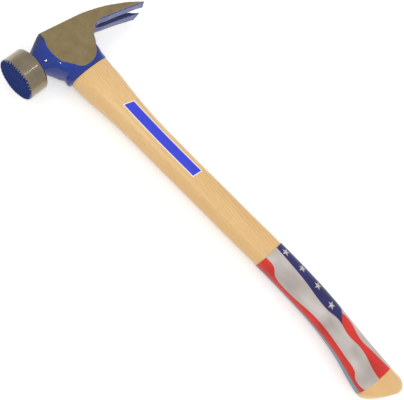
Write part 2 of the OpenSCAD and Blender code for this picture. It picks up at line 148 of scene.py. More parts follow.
thick_shares = [0.965, 0.99, 1, 0.985, 0.955, 0.90, 0.87, 0.85, 0.845, 0.85, 0.85, 0.85, 0.845, 0.84,
                0.835, 0.83, 0.845, 0.865, 0.93, 0.97, 0.995, 1]
BUTT_ROUND = 6.0
BUTT_SLANT = 21.5
BUTT_BULGE = 2.4
BUTT_TILT = BUTT_SLANT / SHOULDER_W
BUTT_START = WOOD_L - BUTT_ROUND
LEAN_START = 0.9
HEEL_IN = 8.2
HEEL_LAG = 7.6
HEEL_POWER = 1.5

# The eye, which the tenon fills, and the slope of the crown over it
EYE_W, EYE_T = 25.4, 16.4
EYE_FLARE_TOP, EYE_FLARE_FOOT = 2.2, 4.2
EYE_FLARE_T_SHARE = 0.6
EYE_POWER = 2.6
EYE_FIT = 0.15
WOOD_SINK = 0.6
CROWN_RISE = 14.9
CROWN_SLOPE = 0.1482
eye_at = [0, 0.25, 0.5, 0.75, 1]

# Wedges, and how far the slot of a steel one is carried on above the crown, with its half thickness there
WEDGE_T, WEDGE_L = 3.8, 26
STEEL_WEDGE_T, STEEL_WEDGE_W, STEEL_WEDGE_L = 2.4, 12.6, 17
STEEL_WEDGE_OFF = 6.4
WEDGE_FIT = 0.05
SLOT_OVER, SLOT_OVER_HALF_T = 2, 1.39

# How finely the wood is drawn
ROUND = 96
HALF_ROUND = ROUND // 2
TENON_RINGS = 24
WOOD_RINGS = 150
EVEN_FROM, EVEN_TO = 0.024, 0.96
BUTT_TURN = 6


def mid_y(d):
    """Middle line of the wood, at a distance below the socket's rim."""
    return BOW * flow(d / WOOD_L, wood_at, bow_shares)


def half_wide(d):
    return SHOULDER_W / 2 * flow(d / WOOD_L, wood_at, wide_shares)


def half_thick(d):
    return SHOULDER_T / 2 * flow(d / WOOD_L, wood_at, thick_shares)


def crown_x(y):
    return CROWN_SLOPE * y - CROWN_RISE


def wood_ring(d, more):
    """A ring round the wood, grown by more. The rings lean over towards the slanted butt."""
    tilt = BUTT_TILT * (max(d / WOOD_L - LEAN_START, 0) / (1 - LEAN_START)) ** 3
    return [
        (SOCKET_DROP + d + tilt * a, mid_y(d) + a, b)
        for a, b in oval(half_wide(d) + more, half_thick(d) + more, WOOD_POWER, ROUND)
    ]


def butt_ring(turn):
    """A ring of the rounded butt. The corner at its back is nearly a chamfer."""
    out = BUTT_ROUND * math.sin(turn)
    less, heel_less = 1 - math.cos(turn), 1 - max(math.cos(turn), 0) ** HEEL_POWER
    ring = []
    for a, b in oval(1, half_thick(BUTT_START) - BUTT_ROUND * less, WOOD_POWER, ROUND):
        y = a * (half_wide(BUTT_START) - (HEEL_IN * heel_less if a > 0 else BUTT_ROUND * less))
        lag = HEEL_LAG * max(a, 0) ** 2 * (1 - math.sin(turn) ** HEEL_POWER)
        bulge = BUTT_BULGE * (1 - abs(a) ** 3) * math.sin(turn)
        x = SOCKET_DROP + BUTT_START + out + BUTT_TILT * y + bulge - lag
        ring.append((min(x, FAR_X), mid_y(BUTT_START + out) + y, b))
    return ring


def tenon_ring(s):
    """A ring of the wood inside the eye, from just under the crown to the socket's rim."""
    top_wider = EYE_FLARE_TOP / 2 * flow(s, eye_at, [1, 0.55, 0.1, 0, 0])
    wider = top_wider + EYE_FLARE_FOOT / 2 * flow(s, eye_at, [0, 0, 0.1, 0.5, 1])
    half_w = EYE_W / 2 + wider - EYE_FIT
    half_t = EYE_T / 2 + wider * EYE_FLARE_T_SHARE - EYE_FIT
    return [
        ((1 - s) * (crown_x(a) + WOOD_SINK) + s * (SOCKET_DROP + SHOULDER_GAP), a, b)
        for a, b in oval(half_w, half_t, EYE_POWER, ROUND)
    ]


def lofted(name, rings):
    """Joins rings of points into one skin. The last ring is closed by straight rows across the butt."""
    n = len(rings[0])
    points = [place(*p) for ring in rings for p in ring]
    faces = [
        (k * n + i, (k + 1) * n + i, (k + 1) * n + (i + 1) % n, k * n + (i + 1) % n)
        for k in range(len(rings) - 1) for i in range(n)
    ]
    faces.append(tuple(range(n)))
    last = (len(rings) - 1) * n
    steps = 8
    rows = {}
    for i in range(1, n // 2):
        upper, lower = rings[-1][i], rings[-1][n - i]
        rows[i] = [last + i]
        for j in range(1, steps):
            share = j / steps
            rows[i].append(len(points))
            points.append(place(*[upper[k] * (1 - share) + lower[k] * share for k in range(3)]))
        rows[i].append(last + n - i)
    for i in range(1, n // 2 - 1):
        for j in range(steps):
            faces.append((rows[i][j + 1], rows[i + 1][j + 1], rows[i + 1][j], rows[i][j]))
    for j in range(steps):
        faces.append((rows[1][j + 1], rows[1][j], last))
        faces.append((last + n // 2, rows[n // 2 - 1][j], rows[n // 2 - 1][j + 1]))
    mesh = bpy.data.meshes.new(name)
    mesh.from_pydata(points, [], faces)
    mesh.validate()
    face_outward(mesh)
    return put_in_scene(name, mesh)


def prism(name, outline, low, high, along_z):
    """A straight cutter: an outline in X and Y drawn along Z, or in X and Z drawn along Y."""
    n = len(outline)
    points = []
    for level in (low, high):
        for a, b in outline:
            points.append(place(a, b, level) if along_z else place(a, level, b))
    faces = [tuple(range(n)), tuple(range(2 * n - 1, n - 1, -1))]
    faces += [(i, n + i, n + (i + 1) % n, (i + 1) % n) for i in range(n)]
    mesh = bpy.data.meshes.new(name)
    mesh.from_pydata(points, [], faces)
    face_outward(mesh)
    return put_in_scene(name, mesh)


def cut_away(piece, cutter):
    work_in(piece, "BOOLEAN", operation="DIFFERENCE", object=cutter, solver="EXACT")
    bpy.data.objects.remove(cutter)


def wedge_kerf():
    """The saw cut for the wooden wedge, which thins to a seventh. It is carried on above the crown."""
    half_top = WEDGE_T / 2 + WEDGE_FIT
    half_foot = WEDGE_T / 14 + WEDGE_FIT
    top, foot = -2 * CROWN_RISE, WEDGE_L - CROWN_RISE + WEDGE_FIT
    grow = (half_top - half_foot) * CROWN_RISE / WEDGE_L
    outline = [(top, half_top + grow), (foot, half_foot), (foot, -half_foot), (top, -half_top - grow)]
    return prism("wedge_kerf", outline, -EYE_W, EYE_W, False)


def steel_wedge_slot(mid):
    """The split that a steel wedge opens. The wedge thins to a fifth."""
    half_top = STEEL_WEDGE_T / 2 + WEDGE_FIT
    half_foot = STEEL_WEDGE_T / 10 + WEDGE_FIT
    half_w = STEEL_WEDGE_W / 2 + WEDGE_FIT
    foot = crown_x(mid) + STEEL_WEDGE_L + WEDGE_FIT
    outline = [
        (crown_x(mid - half_top) - SLOT_OVER, mid - SLOT_OVER_HALF_T),
        (crown_x(mid + half_top) - SLOT_OVER, mid + SLOT_OVER_HALF_T),
        (foot, mid + half_foot), (foot, mid - half_foot),
    ]
    return prism("steel_wedge_slot", outline, -half_w, half_w, True)


rings = [tenon_ring(i / TENON_RINGS) for i in range(TENON_RINGS + 1)]
shoulder = wood_ring(0, -0.01 * SHOULDER_T)
rings.append([(SOCKET_DROP + SHOULDER_GAP, y, z) for x, y, z in shoulder])
# The rings lie closest where the wood turns at the shoulder
stations = [0.004, 0.008, 0.012, 0.018]
stations += [EVEN_FROM + (EVEN_TO - EVEN_FROM) * i / WOOD_RINGS for i in range(WOOD_RINGS + 1)]
rings += [wood_ring(s * WOOD_L, 0) for s in stations]
rings += [butt_ring(math.radians(turn)) for turn in range(0, 91, BUTT_TURN)]
handle = lofted("hickory_handle", rings)
cut_away(handle, wedge_kerf())
for side in (-1, 1):
    cut_away(handle, steel_wedge_slot(side * STEEL_WEDGE_OFF))
handle.data.shade_smooth()
handle.data.set_sharp_from_angle(angle=math.radians(40))

# Label and sleeve, thin closed sheets that lie just off the wood
LABEL_START, LABEL_L, LABEL_W, LABEL_T, LABEL_OFF = 43.2, 84.6, 11.0, 0.2, 1.7
LABEL_UPPER_SKEW, LABEL_LOWER_SKEW = 3.2, 1.4
WRAP_L, WRAP_T, BARE_BUTT_L = 141.4, 0.3, 16.4
WRAP_START = WOOD_L - BARE_BUTT_L - WRAP_L
STUCK_GAP = 0.06
# One unit of the label's marks in mm, and the step round the sleeve where its seam lies
LAY_MM = 100
SEAM_STEP = HALF_ROUND + 19


def sheet(name, points, faces, marks):
    """A thin closed sheet. marks says where each corner of each face lies on it, for its print."""
    mesh = bpy.data.meshes.new(name)
    mesh.from_pydata([place(*point) for point in points], [], faces)
    layer = mesh.uv_layers.new(name="lay")
    for face, corner_marks in zip(mesh.polygons, marks):
        for loop, mark in zip(face.loop_indices, corner_marks):
            layer.data[loop].uv = mark
    face_outward(mesh)
    mesh.shade_smooth()
    mesh.set_sharp_from_angle(angle=math.radians(50))
    return put_in_scene(name, mesh)


def on_label(u, v, over):
    """A point of the label: u along it, v across it, and over above the wood."""
    across = v - 0.5
    skew = LABEL_UPPER_SKEW * (1 - u) + LABEL_LOWER_SKEW * u
    d = LABEL_START + LABEL_L * u + skew * across
    a = LABEL_OFF + LABEL_W * across
    rise = (1 - (abs(a) / half_wide(d)) ** WOOD_POWER) ** (1 / WOOD_POWER)
    return SOCKET_DROP + d, mid_y(d) + a, half_thick(d) * rise + over


def label_sheet(name):
    """The label. Its marks are in units of LAY_MM, along it and across it."""
    rows, columns = 60, 24
    points, lay = [], []
    for over in (STUCK_GAP + LABEL_T, STUCK_GAP):
        for k in range(rows + 1):
            for i in range(columns + 1):
                u, v = k / rows, i / columns
                points.append(on_label(u, v, over))
                lay.append((u * LABEL_L / LAY_MM, v * LABEL_W / LAY_MM))
    wide, below = columns + 1, (rows + 1) * (columns + 1)
    faces = []
    for k in range(rows):
        for i in range(columns):
            a = k * wide + i
            faces.append((a, a + wide, a + wide + 1, a + 1))
            faces.append((below + a, below + a + 1, below + a + wide + 1, below + a + wide))
    for k in range(rows):
        for a, b in ((k * wide, (k + 1) * wide), (k * wide + columns, (k + 1) * wide + columns)):
            faces.append((a, b, below + b, below + a))
    for i in range(columns):
        for a in (i, rows * wide + i):
            faces.append((a, a + 1, below + a + 1, below + a))
    return sheet(name, points, faces, [[lay[i] for i in face] for face in faces])


def sleeve_sheet(name):
    """The sleeve. Its marks run along it, and round it in half girths: 0 at the back edge, 1 at the front
    edge, and on over the lower side to a seam at 1.4, which is also -0.6."""
    rows = 96
    outer, inner = [
        [wood_ring(WRAP_START + WRAP_L * k / rows, over) for k in range(rows + 1)]
        for over in (STUCK_GAP + WRAP_T, STUCK_GAP)
    ]
    girths = []
    for ring in outer:
        steps = [math.dist(ring[i], ring[i + 1]) for i in range(HALF_ROUND)]
        half = [sum(steps[:i]) / sum(steps) for i in range(HALF_ROUND + 1)]
        girths.append(half + [2 - share for share in half[-2::-1]])

    def mark(k, i, step):
        return k / rows, girths[k][i] - (2 if step >= SEAM_STEP else 0)

    faces, marks = [], []
    below = (rows + 1) * ROUND
    for k in range(rows):
        for i in range(ROUND):
            corners = ((k, i), (k + 1, i), (k + 1, i + 1), (k, i + 1))
            for shift in (0, below):
                faces.append(tuple(shift + a * ROUND + b % ROUND for a, b in corners))
                marks.append([mark(a, b, i) for a, b in corners])
    for k in (0, rows):
        for i in range(ROUND):
            a, b = k * ROUND + i, k * ROUND + (i + 1) % ROUND
            faces.append((a, b, below + b, below + a))
            marks.append([mark(k, j, i) for j in (i, i + 1, i + 1, i)])
    return sheet(name, [p for ring in outer + inner for p in ring], faces, marks)


label = label_sheet("stuck_label")
sleeve = sleeve_sheet("printed_grip_sleeve")

# Head, made from the CAD's by a fine remesh. Smoothing rounds its forged edges by a few tenths of a
# millimetre, and the fold between neck and eye block by more. What is turned or ground is then made true
POLL_L, TIP_SLANT = 20.2, 2.1
FACE_Y = -FACE_REACH
POLL_BACK_Y = FACE_Y + POLL_L
CLAW_ROOT = 0.307 * CLAW_REACH
CLAW_TIP_Y = CLAW_REACH - TIP_SLANT
CHEEK = 14.0
CLAW_HALF = 18.3
CLAW_SLOPE = (CLAW_HALF - CHEEK) / (CLAW_TIP_Y - CLAW_ROOT)
VOXEL = 0.42
SOFT_TURNS, FOLD_TURNS = 6, 24
WELD, CUT_SNAP = 0.001, 0.0001
# How much of the striking end, from its face, is softened once only, so that its teeth stay
TEETH_L = 1.3
FOLD_X, FOLD_Y = (4, 28.2), (-29, -11)
POLL_SIDE = (FACE_Y + 1.6, POLL_BACK_Y - 2.6)
CHEEK_Y = (POLL_BACK_Y + 2, CLAW_ROOT)
TRUE_WITHIN = 0.2

# Where the enamel ends. A skin is how far in from a ground side its steel still counts as ground. On the
# broken edge that faces the crown, that is as far as the edge is broken
POLL_SEAM = POLL_BACK_Y - 0.25
BEVEL = 1.14
BEVEL_COAT = BEVEL - 0.3
BARE_FROM = 4
MILL_PITCH, MILL_ROWS, GROOVE_W = 2.4, 7, 1.76
GROOVE_COAT_L, GROOVE_NARROWING = 1.5, 0.7
BROKEN_EDGE = 0.5
CHEEK_SKIN = 0.06
CLAW_SKIN, TIP_SKIN, TIP_L = 0.1, 0.4, 4
SLOT_FROM, SLOT_HALF = 12, 9
# How far a face's normal has to turn to count as facing the crown, a claw's side or the slot's flanks
CROWNWARD, OUTWARD, FLANKWARD = -0.25, 0.6, 0.3
# The head's materials, by their numbers
POLISHED, ENAMEL, MILLED, SLOT, TURNED = 0, 1, 2, 3, 4

cad_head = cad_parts["head"].data.copy()
skin = bmesh.new()
skin.from_mesh(cad_head)
bmesh.ops.remove_doubles(skin, verts=skin.verts, dist=WELD * MM)
skin.to_mesh(cad_head)
skin.free()
cad_head.materials.clear()
head = put_in_scene("forged_head", cad_head)
work_in(head, "REMESH", mode="VOXEL", voxel_size=VOXEL * MM, adaptivity=0)

skin = bmesh.new()
skin.from_mesh(head.data)
skin.verts.ensure_lookup_table()
eye = place(0, 0, 0)


def soften(verts):
    bmesh.ops.smooth_vert(skin, verts=verts, factor=0.5, use_axis_x=True, use_axis_y=True, use_axis_z=True)


def in_fold(p):
    """Whether a point lies where the neck and the eye block meet, under the crown."""
    return (FOLD_X[0] < p.x < FOLD_X[1] and FOLD_Y[0] < p.y < FOLD_Y[1]
            and abs(p.z) < CHEEK + TRUE_WITHIN / 2)


soften(skin.verts)
for turn in range(1, SOFT_TURNS):
    soften([v for v in skin.verts if (v.co.y - eye.y) / MM > FACE_Y + TEETH_L])
fold = [v for v in skin.verts if in_fold((v.co - eye) / MM)]
for turn in range(FOLD_TURNS):
    soften(fold)
for v in skin.verts:
    p = (v.co - eye) / MM
    r = math.hypot(p.x, p.z)
    if POLL_SIDE[0] < p.y < POLL_SIDE[1] and r > POLL_R - TRUE_WITHIN:
        p.x, p.z = p.x * POLL_R / r, p.z * POLL_R / r
    elif CHEEK_Y[0] < p.y < CHEEK_Y[1] and CHEEK - CHEEK_SKIN < abs(p.z) < CHEEK + TRUE_WITHIN:
        p.z = math.copysign(CHEEK, p.z)
    v.co = p * MM + eye

# The edges between ground steel and enamel are cut into the mesh, so that they are clean lines
cuts = [((0, POLL_SEAM, 0), (0, 1, 0))]
for side in (1, -1):
    for depth in (CHEEK_SKIN, BROKEN_EDGE):
        cuts.append(((0, 0, side * (CHEEK - depth)), (0, 0, side)))
    for depth in (CLAW_SKIN, BROKEN_EDGE):
        cuts.append(((0, CLAW_ROOT, side * (CHEEK - depth)), (0, -CLAW_SLOPE, side)))
for point, normal in cuts:
    bmesh.ops.bisect_plane(skin, geom=skin.verts[:] + skin.edges[:] + skin.faces[:],
                           plane_co=place(*point), plane_no=Vector(normal).normalized(), dist=CUT_SNAP * MM)


def claw_side_depth(y, z):
    """How far inside the ground side of a claw a point lies."""
    return (CHEEK + CLAW_SLOPE * (y - CLAW_ROOT) - abs(z)) / math.hypot(1, CLAW_SLOPE)


def in_groove(across, down):
    """Whether a point this far from the striking end's middle, and this far behind its face, is grooved."""
    row = round(across / MILL_PITCH)
    half = GROOVE_W / 2 * (1 - GROOVE_NARROWING * down / GROOVE_COAT_L)
    return abs(row) <= MILL_ROWS and abs(across - row * MILL_PITCH) < half


def poll_coat(p):
    """The striking end is turned steel behind its bevel, apart from the ends of the milled grooves."""
    r = math.hypot(p.x, p.z)
    down = p.y - FACE_Y
    behind_bevel = r > POLL_R - BEVEL and POLL_R - r + down > BEVEL_COAT
    grooved = down < GROOVE_COAT_L and (in_groove(p.x, down) or in_groove(p.z, down))
    return TURNED if down > BARE_FROM or behind_bevel and not grooved else MILLED


def claw_coat(p, normal):
    """A claw is ground on its outer side, and on the broken edge that faces the crown."""
    depth = claw_side_depth(p.y, p.z)
    if normal.x < CROWNWARD and depth < BROKEN_EDGE / math.hypot(1, CLAW_SLOPE):
        return POLISHED
    ground_in = 0.98 * CLAW_SKIN if p.y < CLAW_TIP_Y - TIP_L else TIP_SKIN
    if depth < ground_in and abs(normal.z) > OUTWARD:
        return POLISHED
    # The slot's flanks get the enamel with painted shade
    in_slot = p.y > CLAW_ROOT + SLOT_FROM and abs(p.z) < SLOT_HALF and abs(normal.z) > FLANKWARD
    return SLOT if in_slot else ENAMEL


for face in skin.faces:
    p = (face.calc_center_median() - eye) / MM
    if p.y < POLL_SEAM:
        face.material_index = poll_coat(p)
    elif p.y < CLAW_ROOT:
        ground_in = BROKEN_EDGE if face.normal.x < CROWNWARD else CHEEK_SKIN
        face.material_index = POLISHED if abs(p.z) > CHEEK - ground_in else ENAMEL
    else:
        face.material_index = claw_coat(p, face.normal)
    face.smooth = True
skin.to_mesh(head.data)
skin.free()


def srgb(code):
    """Linear colour from an sRGB hex value."""
    parts = [int(code[i:i + 2], 16) / 255 for i in (1, 3, 5)]
    return tuple(c / 12.92 if c <= 0.04045 else ((c + 0.055) / 1.055) ** 2.4 for c in parts) + (1.0,)


def node(tree, kind, sockets=None, points=None, stops=None, **settings):
    """Adds one node: its settings, the values or links of its sockets, its curve points or ramp stops."""
    made = tree.nodes.new(kind)
    for name, value in settings.items():
        setattr(made, name, value)
    if points:
        curve = made.mapping.curves[0]
        curve.points[0].location, curve.points[1].location = points[0], points[-1]
        for x, y in points[1:-1]:
            curve.points.new(x, y)
        made.mapping.update()
    if stops:
        ramp = made.color_ramp
        for spot, color in stops[2:]:
            ramp.elements.new(spot)
        for element, (spot, color) in zip(ramp.elements, sorted(stops, key=lambda stop: stop[0])):
            element.position, element.color = spot, color
    for socket, value in (sockets or {}).items():
        if isinstance(value, bpy.types.NodeSocket):
            tree.links.new(value, made.inputs[socket])
        else:
            made.inputs[socket].default_value = value
    return made


def new_material(name):
    material = bpy.data.materials.new(name)
    material.use_nodes = True
    tree = material.node_tree
    tree.nodes.clear()
    return material, tree


def cut_steel(name, mark_scale, tarnish_scale, colors, rough, bump, coat):
    """Carbon steel that a tool has cut and lacquer covers: marks along the tool's run, and faint brown
    tarnish where the lacquer is thin. colors are the tarnished, the bright and the dim mark's colour."""
    tarnished, bright, dim = [srgb(color) for color in colors]
    material, tree = new_material(name)
    where = node(tree, "ShaderNodeTexCoord").outputs["Object"]
    tool_run = node(tree, "ShaderNodeMapping", {"Vector": where, "Scale": mark_scale}).outputs[0]
    marks = node(tree, "ShaderNodeTexNoise", {
        "Vector": tool_run, "Scale": 1.0, "Detail": 3.0, "Roughness": 0.6}).outputs[0]
    tarnish = node(tree, "ShaderNodeTexNoise", {
        "Vector": where, "Scale": tarnish_scale, "Detail": 5.0, "Roughness": 0.6}).outputs[0]
    toned = node(tree, "ShaderNodeMix", {0: tarnish, 6: tarnished, 7: bright}, data_type="RGBA").outputs[2]
    streaked = node(tree, "ShaderNodeMix", {
        0: marks, 6: dim, 7: srgb("#FFFFFF")}, data_type="RGBA").outputs[2]
    steel_color = node(tree, "ShaderNodeMix", {
        0: 1.0, 6: toned, 7: streaked}, data_type="RGBA", blend_type="MULTIPLY").outputs[2]
    dullness = node(tree, "ShaderNodeMapRange", {0: marks, 3: rough[0], 4: rough[1]}).outputs[0]
    relief = node(tree, "ShaderNodeBump", {
        "Strength": bump[0], "Distance": bump[1] * MM, "Height": marks}).outputs[0]
    shader = node(tree, "ShaderNodeBsdfPrincipled", {
        "Base Color": steel_color, "Metallic": 1.0, "Roughness": dullness, "Normal": relief,
        "Coat Weight": coat[0], "Coat Roughness": coat[1]}).outputs[0]
    node(tree, "ShaderNodeOutputMaterial", {"Surface": shader})
    return material


# Cheeks and claw sides, ground on a belt and clear-lacquered: a satin warm grey with fine marks.
# Belt marks are about 0.1 mm apart; they are drawn 0.3 mm apart so that they show
ground_steel = cut_steel(
    "belt_ground_lacquered_steel", (3300, 90, 3300), 110.0, ("#8E7C57", "#BBA981", "#D8D4CC"),
    rough=(0.24, 0.34), bump=(0.12, 0.04), coat=(0.15, 0.2))

# Striking end, turned in a lathe under thicker lacquer: greyer and duller, with marks that run round it.
# Turning marks are 0.15 mm apart; they are drawn 0.4 mm apart so that they show
turned_steel = cut_steel(
    "lathe_turned_lacquered_steel", (60, 2500, 60), 130.0, ("#857860", "#AC9F89", "#CCC9C2"),
    rough=(0.27, 0.4), bump=(0.15, 0.05), coat=(0.7, 0.09))

# Baked blue enamel, dipped over the raw forging: glossy, with the slow waves of the forged skin under it,
# a darker tone where it ran thin over the scale, and a painted grey reflection along the crown side
# Painted grey reflection: where it starts and where it is full in X, its greatest share, and how far its edge
# wanders
CROWN_REFLECTION_START_X, CROWN_REFLECTION_FULL_X, CROWN_REFLECTION_SHARE = -4.54, -7.74, 0.7
CROWN_REFLECTION_WANDER = 6
blue_enamel, tree = new_material("dipped_blue_enamel")
where = node(tree, "ShaderNodeTexCoord").outputs["Object"]
forged_skin = node(tree, "ShaderNodeTexNoise", {
    "Vector": where, "Scale": 160.0, "Detail": 3.0, "Roughness": 0.5}).outputs[0]
peel = node(tree, "ShaderNodeTexNoise", {"Vector": where, "Scale": 900.0, "Detail": 2.0}).outputs[0]
tone = node(tree, "ShaderNodeMapRange", {0: forged_skin, 1: 0.3, 2: 0.7}).outputs[0]
dipped = node(tree, "ShaderNodeMix", {
    0: tone, 6: srgb("#03277C"), 7: srgb("#053396")}, data_type="RGBA").outputs[2]
crown_way = node(tree, "ShaderNodeSeparateXYZ", {0: where}).outputs[0]
ragged = node(tree, "ShaderNodeMath", {
    0: forged_skin, 1: CROWN_REFLECTION_WANDER * MM, 2: crown_way}, operation="MULTIPLY_ADD").outputs[0]
# Painted reflection: the enamel turns grey towards the crown side
painted_crown_reflection = node(tree, "ShaderNodeMapRange", {
    0: ragged, 1: place(CROWN_REFLECTION_START_X, 0, 0).x, 2: place(CROWN_REFLECTION_FULL_X, 0, 0).x, 4: CROWN_REFLECTION_SHARE}).outputs[0]
enamel_color = node(tree, "ShaderNodeMix", {
    0: painted_crown_reflection, 6: dipped, 7: srgb("#2A3350")}, data_type="RGBA").outputs[2]
waves = node(tree, "ShaderNodeBump", {
    "Strength": 0.35, "Distance": 0.4 * MM, "Height": forged_skin}).outputs[0]
bump = node(tree, "ShaderNodeBump", {
    "Strength": 0.08, "Distance": 0.1 * MM, "Height": peel, "Normal": waves}).outputs[0]
shader = node(tree, "ShaderNodeBsdfPrincipled", {
    "Base Color": enamel_color, "Roughness": 0.1, "IOR": 1.52, "Normal": bump}).outputs[0]
node(tree, "ShaderNodeOutputMaterial", {"Surface": shader})

# The same enamel in the slot between the claws, painted nearly navy: painted shade, for the shade that lies
# in the slot
slot_shaded_enamel, tree = new_material("enamel_with_painted_slot_shade")
where = node(tree, "ShaderNodeTexCoord").outputs["Object"]
enamel_blotch = node(tree, "ShaderNodeTexNoise", {"Vector": where, "Scale": 200.0, "Detail": 3.0}).outputs[0]
# Painted shade: two nearly navy tones, mixed at random, stand for the slot's shade
slot_shade_color = node(tree, "ShaderNodeMix", {
    0: enamel_blotch, 6: srgb("#030F4A"), 7: srgb("#06175E")}, data_type="RGBA").outputs[2]
bump = node(tree, "ShaderNodeBump", {"Strength": 0.3, "Distance": 0.3 * MM, "Height": enamel_blotch}).outputs[0]
shader = node(tree, "ShaderNodeBsdfPrincipled", {
    "Base Color": slot_shade_color, "Roughness": 0.2, "IOR": 1.52, "Normal": bump}).outputs[0]
node(tree, "ShaderNodeOutputMaterial", {"Surface": shader})

# The same enamel in the milled face: painted shade darkens it with depth into the grooves, it is paler on the
# lands, and it is scoured matt. The photo shows hardly any sheen on it, so its specular level is below that
# of the glossy coat
LAND_DOWN, GROOVE_DOWN = 0.02, 0.6
milled_enamel, tree = new_material("enamel_in_milled_face")
where = node(tree, "ShaderNodeTexCoord").outputs["Object"]
enamel_blotch = node(tree, "ShaderNodeTexNoise", {"Vector": where, "Scale": 420.0, "Detail": 4.0}).outputs[0]
depth = node(tree, "ShaderNodeSeparateXYZ", {0: where}).outputs[1]
# Painted shade: darker from the lands down into the grooves
groove_shade_share = node(tree, "ShaderNodeMapRange", {
    0: depth, 1: place(0, FACE_Y + LAND_DOWN, 0).y, 2: place(0, FACE_Y + GROOVE_DOWN, 0).y}).outputs[0]
lands = node(tree, "ShaderNodeMix", {
    0: enamel_blotch, 6: srgb("#163F94"), 7: srgb("#1E4CA6")}, data_type="RGBA").outputs[2]
face_color = node(tree, "ShaderNodeMix", {0: groove_shade_share, 6: lands, 7: srgb("#0E2260")}, data_type="RGBA").outputs[2]
bump = node(tree, "ShaderNodeBump", {"Strength": 0.2, "Distance": 0.1 * MM, "Height": enamel_blotch}).outputs[0]
shader = node(tree, "ShaderNodeBsdfPrincipled", {
    "Base Color": face_color, "Roughness": 0.85, "IOR": 1.52, "Specular IOR Level": 0.35,
    "Normal": bump}).outputs[0]
node(tree, "ShaderNodeOutputMaterial", {"Surface": shader})

# Hickory, sawn along the grain, sanded and varnished: pale honey wood with rings that run out along the
# handle, short dark pores in each ring, and fine fibres. Pores are 0.2 mm wide and are drawn 0.35 mm wide.
# RING_WAY is the direction in which the rings are counted
RING_GAP, RING_WARP = 1.695, 11
RING_WAY = (0.012, 0.78, 0.62)
hickory, tree = new_material("varnished_hickory")
where = node(tree, "ShaderNodeTexCoord").outputs["Object"]
slow = node(tree, "ShaderNodeMapping", {"Vector": where, "Scale": (7, 55, 55)}).outputs[0]
drift = node(tree, "ShaderNodeTexNoise", {
    "Vector": slow, "Scale": 1.0, "Detail": 2.0, "Roughness": 0.45}).outputs[0]
axes = node(tree, "ShaderNodeSeparateXYZ", {0: where})
tilted = node(tree, "ShaderNodeMath", {0: axes.outputs[2], 1: RING_WAY[2]}, operation="MULTIPLY").outputs[0]
across = node(tree, "ShaderNodeMath", {
    0: axes.outputs[1], 1: RING_WAY[1], 2: tilted}, operation="MULTIPLY_ADD").outputs[0]
warped = node(tree, "ShaderNodeMath", {
    0: drift, 1: RING_WARP * MM, 2: across}, operation="MULTIPLY_ADD").outputs[0]
run_out = node(tree, "ShaderNodeMath", {
    0: axes.outputs[0], 1: RING_WAY[0], 2: warped}, operation="MULTIPLY_ADD").outputs[0]
ring_count = node(tree, "ShaderNodeMath", {0: run_out, 1: RING_GAP * MM}, operation="DIVIDE").outputs[0]
ring = node(tree, "ShaderNodeMath", {0: ring_count}, operation="FRACT").outputs[0]
late_wood = node(tree, "ShaderNodeValToRGB", {0: ring}, stops=[
    (0.0, (0.25, 0.25, 0.25, 1)), (1.0, (0.2, 0.2, 0.2, 1)),
    (0.14, (1, 1, 1, 1)), (0.5, (0.35, 0.35, 0.35, 1))]).outputs[0]
fibre_space = node(tree, "ShaderNodeMapping", {"Vector": where, "Scale": (60, 2400, 2400)}).outputs[0]
fibre = node(tree, "ShaderNodeTexNoise", {
    "Vector": fibre_space, "Scale": 1.0, "Detail": 3.0, "Roughness": 0.6}).outputs[0]
pore_space = node(tree, "ShaderNodeMapping", {"Vector": where, "Scale": (130, 2900, 2900)}).outputs[0]
pore_noise = node(tree, "ShaderNodeTexNoise", {"Vector": pore_space, "Scale": 1.0, "Detail": 1.0}).outputs[0]
pore_dots = node(tree, "ShaderNodeMapRange", {0: pore_noise, 1: 0.60, 2: 0.70}).outputs[0]
pores = node(tree, "ShaderNodeMath", {0: pore_dots, 1: late_wood}, operation="MULTIPLY").outputs[0]
tone = node(tree, "ShaderNodeMapRange", {0: drift, 1: 0.3, 2: 0.7}).outputs[0]
pale = node(tree, "ShaderNodeMix", {
    0: tone, 6: srgb("#E8BE7C"), 7: srgb("#F6D296")}, data_type="RGBA").outputs[2]
ring_share = node(tree, "ShaderNodeMath", {0: late_wood, 1: 0.42}, operation="MULTIPLY").outputs[0]
ringed = node(tree, "ShaderNodeMix", {
    0: ring_share, 6: pale, 7: srgb("#C08D52")}, data_type="RGBA").outputs[2]
fibre_share = node(tree, "ShaderNodeMapRange", {0: fibre, 1: 0.35, 2: 0.75, 4: 0.42}).outputs[0]
fibrous = node(tree, "ShaderNodeMix", {
    0: fibre_share, 6: ringed, 7: srgb("#C4935A")}, data_type="RGBA").outputs[2]
pore_share = node(tree, "ShaderNodeMath", {0: pores, 1: 0.5}, operation="MULTIPLY").outputs[0]
wood_color = node(tree, "ShaderNodeMix", {
    0: pore_share, 6: fibrous, 7: srgb("#9A6C3A")}, data_type="RGBA").outputs[2]
rough = node(tree, "ShaderNodeMapRange", {0: fibre, 3: 0.36, 4: 0.48}).outputs[0]
bump = node(tree, "ShaderNodeBump", {"Strength": 0.15, "Distance": 0.06 * MM, "Height": fibre}).outputs[0]
shader = node(tree, "ShaderNodeBsdfPrincipled", {
    "Base Color": wood_color, "Roughness": rough, "IOR": 1.5, "Normal": bump,
    "Coat Weight": 0.5, "Coat Roughness": 0.3}).outputs[0]
node(tree, "ShaderNodeOutputMaterial", {"Surface": shader})

